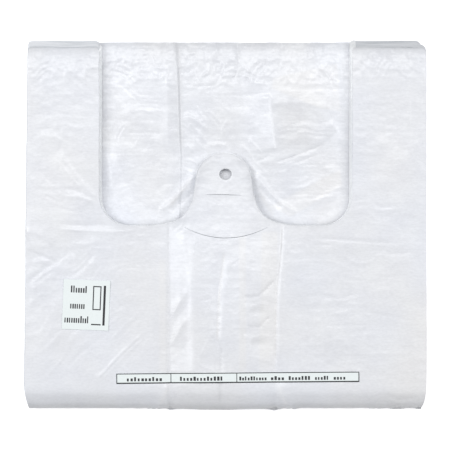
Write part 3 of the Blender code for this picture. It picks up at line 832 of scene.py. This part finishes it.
# gives the layer its film relief, folds it and makes the object
def foldLayer(name, x, s, depth, shown, triangles, slots, materials):
    leaf = pack["leaf"]
    x, s = slipped(x, s, depth)
    lying = np.where(s >= foldStart, s, 2 * foldStart - foldRun - s)
    inwards = clamp(depth / leaf)
    onFront = ease((s - (foldStart - foldRun)) / foldRun)
    back = backBroad(x, lying) * ease((lying + 92) / 30)
    lift = frontBroad(x, s) * (1 - inwards) * onFront + back * inwards * np.where(s >= foldStart, -0.8, 1.0)
    fineOut = ease(1 - depth / 1.2) * shown
    fineIn = ease(1 - (leaf - depth) / 1.2) * shown * ease((foldStart - foldRun - s) / 12)
    cutAway = np.minimum(x - cut["left"], cut["right"] - x)
    underOpen = 0.25 + 0.75 * ease((cutAway + 4) / 5) * ease((lying + 7) / 6)
    front = fineOut > 0
    lift[front] += fineOut[front] * frontFine(x[front], s[front])
    rear = fineIn > 0
    relief = fineIn[rear] * underOpen[rear] * backFine(x[rear], lying[rear])
    depth = depth - np.where(s >= foldStart - foldRun / 2, lift, 0)
    depth = depth + np.where(s < foldStart - foldRun / 2, lift, 0)
    depth[rear] += relief
    tone, warmth = np.zeros(x.shape), np.zeros(x.shape)
    if front.any():
        tone[front], warmth[front] = frontPaintedShadingAndTint(x[front], s[front])
    if rear.any():
        tone[rear], warmth[rear] = backPaintedShadingAndTint(x[rear], lying[rear])
    # painted shade on the front leaf's open end, deeper towards the right
    atEnd = ease((lying - (pack["open"] - 7)) / 4) * (1 - ease(fineIn * 3))
    tone -= (0.10 + 0.16 * ease(0.5 + x / 250)) * atEnd * (s > 0)
    colour = (1 + tone)[:, None] * (1 + warmth[:, None] * np.array((0.010, -0.001, -0.022)))
    spots = folded(x, s, depth)
    mesh = bpy.data.meshes.new(name)
    mesh.vertices.add(len(spots))
    mesh.vertices.foreach_set("co", (spots * mm).astype(np.float32).ravel())
    mesh.loops.add(triangles.size)
    mesh.loops.foreach_set("vertex_index", triangles.astype(np.int32).ravel())
    mesh.polygons.add(len(triangles))
    mesh.polygons.foreach_set("loop_start", np.arange(0, triangles.size, 3, dtype=np.int32))
    mesh.polygons.foreach_set("material_index", slots.astype(np.int32))
    mesh.update(calc_edges=True)
    flat = mesh.uv_layers.new(name="film")
    pairs = np.stack([x * mm, s * mm], 1)[triangles.ravel()]
    flat.data.foreach_set("uv", pairs.astype(np.float32).ravel())
    # the painted light and shade, with the tint, go into a colour attribute that the materials multiply in
    paintedShadingLayer = mesh.color_attributes.new(name="paintedShadingAndTint", type="FLOAT_COLOR", domain="POINT")
    paintedShadingLayer.data.foreach_set("color", np.column_stack([colour, np.ones(len(x))]).astype(np.float32).ravel())
    mesh.validate()
    piece = bpy.data.objects.new(name, mesh)
    bpy.context.scene.collection.objects.link(piece)
    for material in materials:
        mesh.materials.append(material)
    mesh.shade_smooth()
    mesh.set_sharp_from_angle(angle=math.radians(42))
    return piece


# ---- materials
def addNode(tree, kind, place, **values):
    node = tree.nodes.new(kind)
    node.location = place
    for key, value in values.items():
        setattr(node, key, value)
    return node


def filmGrainGroup():
    group = bpy.data.node_groups.new("filmGrain", "ShaderNodeTree")
    sockets = group.interface
    for name, value in (("Line Spacing", 1.8), ("Line Depth", 1.0), ("Mottle Size", 14.0)):
        sockets.new_socket(name=name, in_out="INPUT", socket_type="NodeSocketFloat").default_value = value
    sockets.new_socket(name="Height", in_out="OUTPUT", socket_type="NodeSocketFloat")
    sockets.new_socket(name="Mottle", in_out="OUTPUT", socket_type="NodeSocketFloat")
    enter = addNode(group, "NodeGroupInput", (-900, 0))
    leave = addNode(group, "NodeGroupOutput", (700, 0))
    place = addNode(group, "ShaderNodeTexCoord", (-900, -250))
    stretch = addNode(group, "ShaderNodeMapping", (-680, -250))
    stretch.inputs["Scale"].default_value = (420.0, 900.0, 400.0)
    link = group.links.new
    link(place.outputs["Object"], stretch.inputs["Vector"])
    lines = addNode(group, "ShaderNodeTexNoise", (-460, -150))
    lines.inputs["Scale"].default_value = 1.0
    lines.inputs["Detail"].default_value = 1.0
    link(stretch.outputs["Vector"], lines.inputs["Vector"])
    fine = addNode(group, "ShaderNodeTexNoise", (-460, -420))
    fine.inputs["Scale"].default_value = 1500.0
    fine.inputs["Detail"].default_value = 2.0
    link(place.outputs["Object"], fine.inputs["Vector"])
    mottle = addNode(group, "ShaderNodeTexNoise", (-460, 200))
    mottle.inputs["Detail"].default_value = 3.0
    size = addNode(group, "ShaderNodeMath", (-680, 200), operation="DIVIDE")
    size.inputs[0].default_value = 1000.0
    link(enter.outputs["Mottle Size"], size.inputs[1])
    link(size.outputs[0], mottle.inputs["Scale"])
    link(place.outputs["Object"], mottle.inputs["Vector"])
    deep = addNode(group, "ShaderNodeMath", (-200, -150), operation="MULTIPLY")
    link(lines.outputs["Fac"], deep.inputs[0])
    link(enter.outputs["Line Depth"], deep.inputs[1])
    both = addNode(group, "ShaderNodeMath", (40, -200), operation="MULTIPLY_ADD")
    link(fine.outputs["Fac"], both.inputs[0])
    both.inputs[1].default_value = 0.35
    link(deep.outputs[0], both.inputs[2])
    link(both.outputs[0], leave.inputs["Height"])
    link(mottle.outputs["Fac"], leave.inputs["Mottle"])
    return group


def filmMaterial(name, light, dark, grain, rough=0.30, bump=0.7):
    material = bpy.data.materials.new(name)
    material.use_nodes = True
    tree = material.node_tree
    link = tree.links.new
    shader = tree.nodes["Principled BSDF"]
    shader.inputs["Specular IOR Level"].default_value = 0.5
    shader.inputs["IOR"].default_value = 1.5
    marks = addNode(tree, "ShaderNodeGroup", (-700, 0), node_tree=grain)
    tone = addNode(tree, "ShaderNodeValToRGB", (-420, 150))
    tone.color_ramp.elements[0].position = 0.3
    tone.color_ramp.elements[0].color = (*dark, 1)
    tone.color_ramp.elements[1].position = 0.7
    tone.color_ramp.elements[1].color = (*light, 1)
    link(marks.outputs["Mottle"], tone.inputs["Fac"])
    shade = addNode(tree, "ShaderNodeMapRange", (-420, 330))
    shade.inputs["To Min"].default_value = 0.93
    shade.inputs["To Max"].default_value = 1.07
    link(marks.outputs["Height"], shade.inputs["Value"])
    grainy = addNode(tree, "ShaderNodeVectorMath", (-160, 200), operation="MULTIPLY")
    link(tone.outputs["Color"], grainy.inputs[0])
    link(shade.outputs["Result"], grainy.inputs[1])
    # the colour is multiplied by the painted light and shade attribute
    paintedShadingFactor = addNode(tree, "ShaderNodeAttribute", (-420, 500), attribute_name="paintedShadingAndTint")
    toned = addNode(tree, "ShaderNodeVectorMath", (20, 200), operation="MULTIPLY")
    link(grainy.outputs["Vector"], toned.inputs[0])
    link(paintedShadingFactor.outputs["Color"], toned.inputs[1])
    link(toned.outputs["Vector"], shader.inputs["Base Color"])
    gloss = addNode(tree, "ShaderNodeMapRange", (-420, -120))
    gloss.inputs["To Min"].default_value = rough - 0.08
    gloss.inputs["To Max"].default_value = rough + 0.10
    link(marks.outputs["Mottle"], gloss.inputs["Value"])
    link(gloss.outputs["Result"], shader.inputs["Roughness"])
    raised = addNode(tree, "ShaderNodeBump", (-200, -320))
    raised.inputs["Strength"].default_value = bump
    raised.inputs["Distance"].default_value = 0.0001
    link(marks.outputs["Height"], raised.inputs["Height"])
    link(raised.outputs["Normal"], shader.inputs["Normal"])
    return material


def edgeMaterial(name, light, dark, paintedGlow):
    material = bpy.data.materials.new(name)
    material.use_nodes = True
    tree = material.node_tree
    link = tree.links.new
    shader = tree.nodes["Principled BSDF"]
    place = addNode(tree, "ShaderNodeTexCoord", (-1100, 0))
    stretch = addNode(tree, "ShaderNodeMapping", (-900, 0))
    stretch.inputs["Scale"].default_value = (30.0, 30.0, 2600.0)
    link(place.outputs["Object"], stretch.inputs["Vector"])
    lines = addNode(tree, "ShaderNodeTexNoise", (-700, 0))
    lines.inputs["Scale"].default_value = 1.0
    lines.inputs["Detail"].default_value = 3.0
    link(stretch.outputs["Vector"], lines.inputs["Vector"])
    tone = addNode(tree, "ShaderNodeValToRGB", (-420, 150))
    tone.color_ramp.elements[0].position = 0.36
    tone.color_ramp.elements[0].color = (*dark, 1)
    tone.color_ramp.elements[1].position = 0.58
    tone.color_ramp.elements[1].color = (*light, 1)
    link(lines.outputs["Fac"], tone.inputs["Fac"])
    # the colour is multiplied by the painted light and shade attribute
    paintedShadingFactor = addNode(tree, "ShaderNodeAttribute", (-420, 350), attribute_name="paintedShadingAndTint")
    toned = addNode(tree, "ShaderNodeVectorMath", (-160, 200), operation="MULTIPLY")
    link(tone.outputs["Color"], toned.inputs[0])
    link(paintedShadingFactor.outputs["Color"], toned.inputs[1])
    link(toned.outputs["Vector"], shader.inputs["Base Color"])
    # emission in the edge colour paints light into the edges, as light seeping through the film would; the glow
    # strength sets how much
    link(toned.outputs["Vector"], shader.inputs["Emission Color"])
    shader.inputs["Emission Strength"].default_value = paintedGlow
    shader.inputs["Roughness"].default_value = 0.5
    raised = addNode(tree, "ShaderNodeBump", (-200, -320))
    raised.inputs["Strength"].default_value = 0.6
    raised.inputs["Distance"].default_value = 0.0002
    link(lines.outputs["Fac"], raised.inputs["Height"])
    link(raised.outputs["Normal"], shader.inputs["Normal"])
    return material


# ---- the pack
grain = filmGrainGroup()
frontFilm = filmMaterial("frontFilm", (0.80, 0.815, 0.85), (0.77, 0.785, 0.83), grain)
innerFilm = filmMaterial("innerFilm", (0.81, 0.825, 0.86), (0.76, 0.775, 0.82), grain, rough=0.27)
# the side and end edges are a darker copy with painted shade; the cut edges a lighter copy that glows, with painted
# light
filmEdgesPaintedShade = edgeMaterial("filmEdgesPaintedShade", (0.78, 0.80, 0.84), (0.62, 0.65, 0.69), paintedGlow=0.0)
cutEdgesPaintedLight = edgeMaterial("cutEdgesPaintedLight", (0.86, 0.875, 0.90), (0.74, 0.765, 0.785), paintedGlow=0.13)


def paperMaterial(name, colour):
    material = bpy.data.materials.new(name)
    material.use_nodes = True
    tree = material.node_tree
    link = tree.links.new
    shader = tree.nodes["Principled BSDF"]
    place = addNode(tree, "ShaderNodeTexCoord", (-900, 0))
    fibre = addNode(tree, "ShaderNodeTexNoise", (-700, 0))
    fibre.inputs["Scale"].default_value = 900.0
    fibre.inputs["Detail"].default_value = 3.0
    link(place.outputs["Object"], fibre.inputs["Vector"])
    tone = addNode(tree, "ShaderNodeValToRGB", (-420, 150))
    tone.color_ramp.elements[0].position = 0.3
    tone.color_ramp.elements[0].color = (*[c * 0.97 for c in colour], 1)
    tone.color_ramp.elements[1].position = 0.7
    tone.color_ramp.elements[1].color = (*colour, 1)
    link(fibre.outputs["Fac"], tone.inputs["Fac"])
    link(tone.outputs["Color"], shader.inputs["Base Color"])
    shader.inputs["Roughness"].default_value = 0.75
    raised = addNode(tree, "ShaderNodeBump", (-200, -320))
    raised.inputs["Strength"].default_value = 0.15
    raised.inputs["Distance"].default_value = 0.00005
    link(fibre.outputs["Fac"], raised.inputs["Height"])
    link(raised.outputs["Normal"], shader.inputs["Normal"])
    return material


paper = paperMaterial("labelPaper", (0.86, 0.92, 0.925))
ink = paperMaterial("labelInk", (0.035, 0.036, 0.04))
print("materials made")

loops = packLoops(1.15)


def nowhere(x, s):
    return np.zeros(x.shape, bool)


def frontSide(x, s):
    return s > foldStart - 0.62 * foldRun


def underCut(x, s):
    lying = 2 * foldStart - foldRun - s
    return (s < foldStart - foldRun) & (lying > -7) & (x > cut["left"] - 3) & (x < cut["right"] + 3)


# rows of points beside each crease, so that the mesh bends along it
def alongCreases(creases, spacing, place):
    rows = []
    for points, _, leftWidth, rightWidth, _ in creases:
        offsets = [0.0, min(leftWidth, 1.4) * 0.8, -min(rightWidth, 1.4) * 0.8]
        line = [np.array(p, float) for p in throughPoints(points, 4)] if len(points) > 2 else [np.array(p, float) for p in points]
        for p, q in zip(line, line[1:]):
            length = np.linalg.norm(q - p)
            side = np.array((p[1] - q[1], q[0] - p[0])) / length
            for t in np.arange(0, length, spacing):
                rows += [p + (q - p) * t / length + side * offset for offset in offsets]
    kept = []
    tree = KDTree(len(rows))
    for k, p in enumerate(rows):
        tree.insert((p[0], p[1], 0), k)
    tree.balance()
    taken = np.zeros(len(rows), bool)
    for k, p in enumerate(rows):
        if not any(taken[j] for _, j, _ in tree.find_range((p[0], p[1], 0), 0.42)):
            taken[k] = True
            kept.append(place(p[0], p[1]))
    return kept


gussetLines = [
    ([(-35.4, 3), (-35.4, -60), (-35.4, -118)], 0, 1.0, 1.0, 0),
    ([(35.5, 3), (35.0, -13), (33.8, -24), (32.2, -40), (31.2, -60), (31.4, -84), (32.6, -118)], 0, 1.0, 1.0, 0),
]
rearEdge = [([(-31.0, 116), (-29.6, 100), (-28.8, 88), (-28.0, 60), (-27.4, 44), (-28.4, 0)], 0, 1.4, 1.4, 0)]
frontLines = alongCreases(gussetLines + frontCreases, 0.9, lambda x, y: (x, y))
backLines = alongCreases(rearEdge + backCreases, 0.8, lambda x, y: (x, 2 * foldStart - foldRun - y))
print("crease points", len(frontLines), len(backLines))


def stackDepths(first, last, count, seed):
    random = np.random.default_rng(seed)
    shares = np.cumsum(random.uniform(0.4, 1.6, count))
    levels = first + (last - first) * np.concatenate([[0], shares / shares[-1]])
    rows = []
    for k in range(count):
        rows += [(levels[k] + 0.01, k), (levels[k + 1] - 0.01, k)]
    return rows


outer = makeLayer(loops, [(0.0, 0), (0.22, 0)], frontSide, nowhere, 0.90, frontLines, (0.0, 0.9), 3)
outerBag = foldLayer("outer_bag", *outer, [frontFilm, filmEdgesPaintedShade, cutEdgesPaintedLight])
print("outer bag made", len(outerBag.data.polygons))
stack = makeLayer(loops, stackDepths(0.30, 7.80, 18, 5), nowhere, nowhere, None, [], (1.6, -1.4), 9)
bagStack = foldLayer("bag_stack", *stack, [filmEdgesPaintedShade, filmEdgesPaintedShade, cutEdgesPaintedLight])
print("stack made", len(bagStack.data.polygons))
inner = makeLayer(loops, [(7.86, 0), (8.14, 0)], nowhere, underCut, 0.80, backLines, (-0.6, 0.0), 15)
innerBag = foldLayer("inner_bag", *inner, [innerFilm, filmEdgesPaintedShade, cutEdgesPaintedLight])
print("inner bag made", len(innerBag.data.polygons))


# how high the front film lies, without its small creases
def frontHeight(x, y):
    return pack["top"] + frontBroad(x, y)


# a thin paper rectangle that follows the film, with its print as faces of their own
def makeLabel(name, label, prints, paper, ink):
    wide, tall = label["size"]
    xs = {-wide / 2, wide / 2} | {round(v, 3) for p in prints for v in (p[0], p[2])}
    ys = {-tall / 2, tall / 2} | {round(v, 3) for p in prints for v in (p[1], p[3])}
    xs |= {x for x in np.arange(-wide / 2 + 1.3, wide / 2 - 1, 2.1) if min(abs(x - e) for e in xs) > 0.5}
    ys |= {y for y in np.arange(-tall / 2 + 1.3, tall / 2 - 1, 2.1) if min(abs(y - e) for e in ys) > 0.5}
    xs, ys = np.array(sorted(xs)), np.array(sorted(ys))
    u, v = np.meshgrid(xs, ys)
    c, s = math.cos(math.radians(label["turn"])), math.sin(math.radians(label["turn"]))
    x = label["place"][0] + u * c - v * s
    y = label["place"][1] + u * s + v * c
    corner = np.hypot(np.abs(u) - wide / 2, np.abs(v) - tall / 2)
    z = frontHeight(x, y) + label["gap"] + label["curl"] * np.exp(-(corner / 6) ** 2)
    rows, columns = u.shape
    low = np.stack([x.ravel(), y.ravel(), z.ravel()], 1)
    spots = np.concatenate([low, low + (0, 0, label["thick"])])
    index = np.arange(rows * columns).reshape(rows, columns)
    a, b, c, d = index[:-1, :-1].ravel(), index[:-1, 1:].ravel(), index[1:, 1:].ravel(), index[1:, :-1].ravel()
    up = rows * columns
    faces = [(d[k], c[k], b[k], a[k]) for k in range(len(a))]
    slots = [0] * len(faces)
    for k in range(len(a)):
        faces.append((a[k] + up, b[k] + up, c[k] + up, d[k] + up))
        middleX = (u.ravel()[a[k]] + u.ravel()[c[k]]) / 2
        middleY = (v.ravel()[a[k]] + v.ravel()[c[k]]) / 2
        slots.append(int(any(p[0] < middleX < p[2] and p[1] < middleY < p[3] for p in prints)))
    ring = list(index[0, :]) + list(index[1:, -1]) + list(index[-1, -2::-1]) + list(index[-2:0:-1, 0])
    for k, first in enumerate(ring):
        second = ring[(k + 1) % len(ring)]
        faces.append((first, second, second + up, first + up))
        slots.append(0)
    mesh = bpy.data.meshes.new(name)
    mesh.from_pydata((spots * mm).tolist(), [], [tuple(int(i) for i in f) for f in faces])
    for material in (paper, ink):
        mesh.materials.append(material)
    mesh.polygons.foreach_set("material_index", slots)
    mesh.update()
    mesh.shade_smooth()
    mesh.set_sharp_from_angle(angle=math.radians(40))
    piece = bpy.data.objects.new(name, mesh)
    bpy.context.scene.collection.objects.link(piece)
    return piece


# rows of small plain blocks that stand for a line of print
def blockRow(start, middleY, height, count, pitch, seed):
    random = np.random.default_rng(seed)
    blocks, x = [], start
    for k in range(count):
        wide = pitch * random.uniform(0.5, 0.72)
        rise = height * (0.5 if random.uniform() < 0.75 else 0.72)
        blocks.append((x, middleY - height * 0.5, x + wide, middleY - height * 0.5 + rise))
        x += pitch
    return blocks


def squarePrint():
    blocks = blockRow(-9.8, 10.4, 6.0, 7, 1.5, 1) + blockRow(-9.8, 0.4, 6.0, 7, 1.35, 2)
    blocks += blockRow(-13.0, -8.4, 6.0, 11, 1.4, 3)
    left, right, low, high, line = 4.0, 9.2, -3.0, 12.0, 0.7
    blocks += [(left, high - line, right, high), (left, low, right, low + line)]
    blocks += [(left, low, left + line, high), (right - line, low, right, high)]
    blocks += [(10.6, -12.4, 12.0, 12.4), (3.6, -12.4, 9.6, -11.6)]
    return blocks


def stripPrint():
    wide, tall = stripLabel["size"]
    blocks = [(-wide / 2, tall / 2 - 0.55, wide / 2, tall / 2), (-wide / 2, -tall / 2, wide / 2, -tall / 2 + 0.75)]
    for x in (-wide / 2 + 0.01, -wide / 2 + 33.6, -wide / 2 + 74.6, wide / 2 - 0.51):
        blocks.append((x, -tall / 2, x + 0.5, tall / 2))
    blocks += blockRow(-69.0, 0.1, 3.6, 10, 2.25, 11) + blockRow(-36.0, 0.1, 3.6, 13, 2.1, 12)
    blocks += blockRow(0.9, 0.0, 3.4, 10, 1.75, 13) + blockRow(20.6, 0.0, 3.4, 4, 2.2, 14)
    blocks += blockRow(31.6, 0.0, 3.4, 7, 2.0, 15) + blockRow(48.0, 0.0, 3.4, 5, 1.8, 16)
    return blocks + blockRow(59.6, 0.0, 3.4, 4, 2.0, 17)


squareLabel.update(gap=0.24, thick=0.16, curl=0.25)
stripLabel.update(gap=0.24, thick=0.14, curl=0.12)
squarePiece = makeLabel("paper_square", squareLabel, squarePrint(), paper, ink)
stripPiece = makeLabel("paper_strip", stripLabel, stripPrint(), paper, ink)
print("labels made")

for piece in (outerBag, bagStack, innerBag):
    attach(piece, "root")
for piece in (squarePiece, stripPiece):
    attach(piece, "root")
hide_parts("bag_pack")
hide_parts("square_label")
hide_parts("strip_label")

# ---- the stage, the light and the camera
bpy.ops.object.select_all(action="DESELECT")
bpy.ops.mesh.primitive_plane_add(size=12, location=(0, 0, 0))
floor = bpy.context.object
floor.name = "floor"
floorMaterial = bpy.data.materials.new("paleFloor")
floorMaterial.use_nodes = True
floorMaterial.node_tree.nodes["Principled BSDF"].inputs["Base Color"].default_value = (0.93, 0.93, 0.93, 1)
floorMaterial.node_tree.nodes["Principled BSDF"].inputs["Roughness"].default_value = 0.9
floorMaterial.node_tree.nodes["Principled BSDF"].inputs["Emission Color"].default_value = (1, 1, 1, 1)
floorMaterial.node_tree.nodes["Principled BSDF"].inputs["Emission Strength"].default_value = 0.5
floor.data.materials.append(floorMaterial)

light = {
    "world": 0.30,
    "left": {"place": (-1.25, 0.30, 1.85), "size": 1.0, "power": 17.6},
    "right": {"place": (1.25, 0.20, 1.95), "size": 1.0, "power": 12.3},
    "far": {"place": (0.0, 0.95, 2.00), "size": 1.0, "power": 14.2},
}
scene = bpy.context.scene
world = bpy.data.worlds.new("studio")
scene.world = world
world.use_nodes = True
world.node_tree.nodes["Background"].inputs["Color"].default_value = (1.0, 1.0, 1.0, 1)
world.node_tree.nodes["Background"].inputs["Strength"].default_value = light["world"]


def softLight(name, place, size, power):
    lamp = bpy.data.lights.new(name, "AREA")
    lamp.shape = "SQUARE"
    lamp.size = size
    lamp.energy = power
    holder = bpy.data.objects.new(name, lamp)
    holder.location = place
    holder.rotation_euler = (-Vector(place)).to_track_quat("-Z", "Y").to_euler()
    scene.collection.objects.link(holder)


for name in ("left", "right", "far"):
    softLight(name + "Light", light[name]["place"], light[name]["size"], light[name]["power"])

view = {"height": 1.15, "across": 0.2799, "x": 0.0, "y": -0.0007}
eye = bpy.data.cameras.new("camera")
eye.sensor_width = 36
eye.lens = 36 * (view["height"] - packHigh[2]) / view["across"]
camera = bpy.data.objects.new("camera", eye)
camera.location = (view["x"], view["y"], view["height"])
scene.collection.objects.link(camera)
scene.camera = camera
scene.view_settings.view_transform = "Standard"
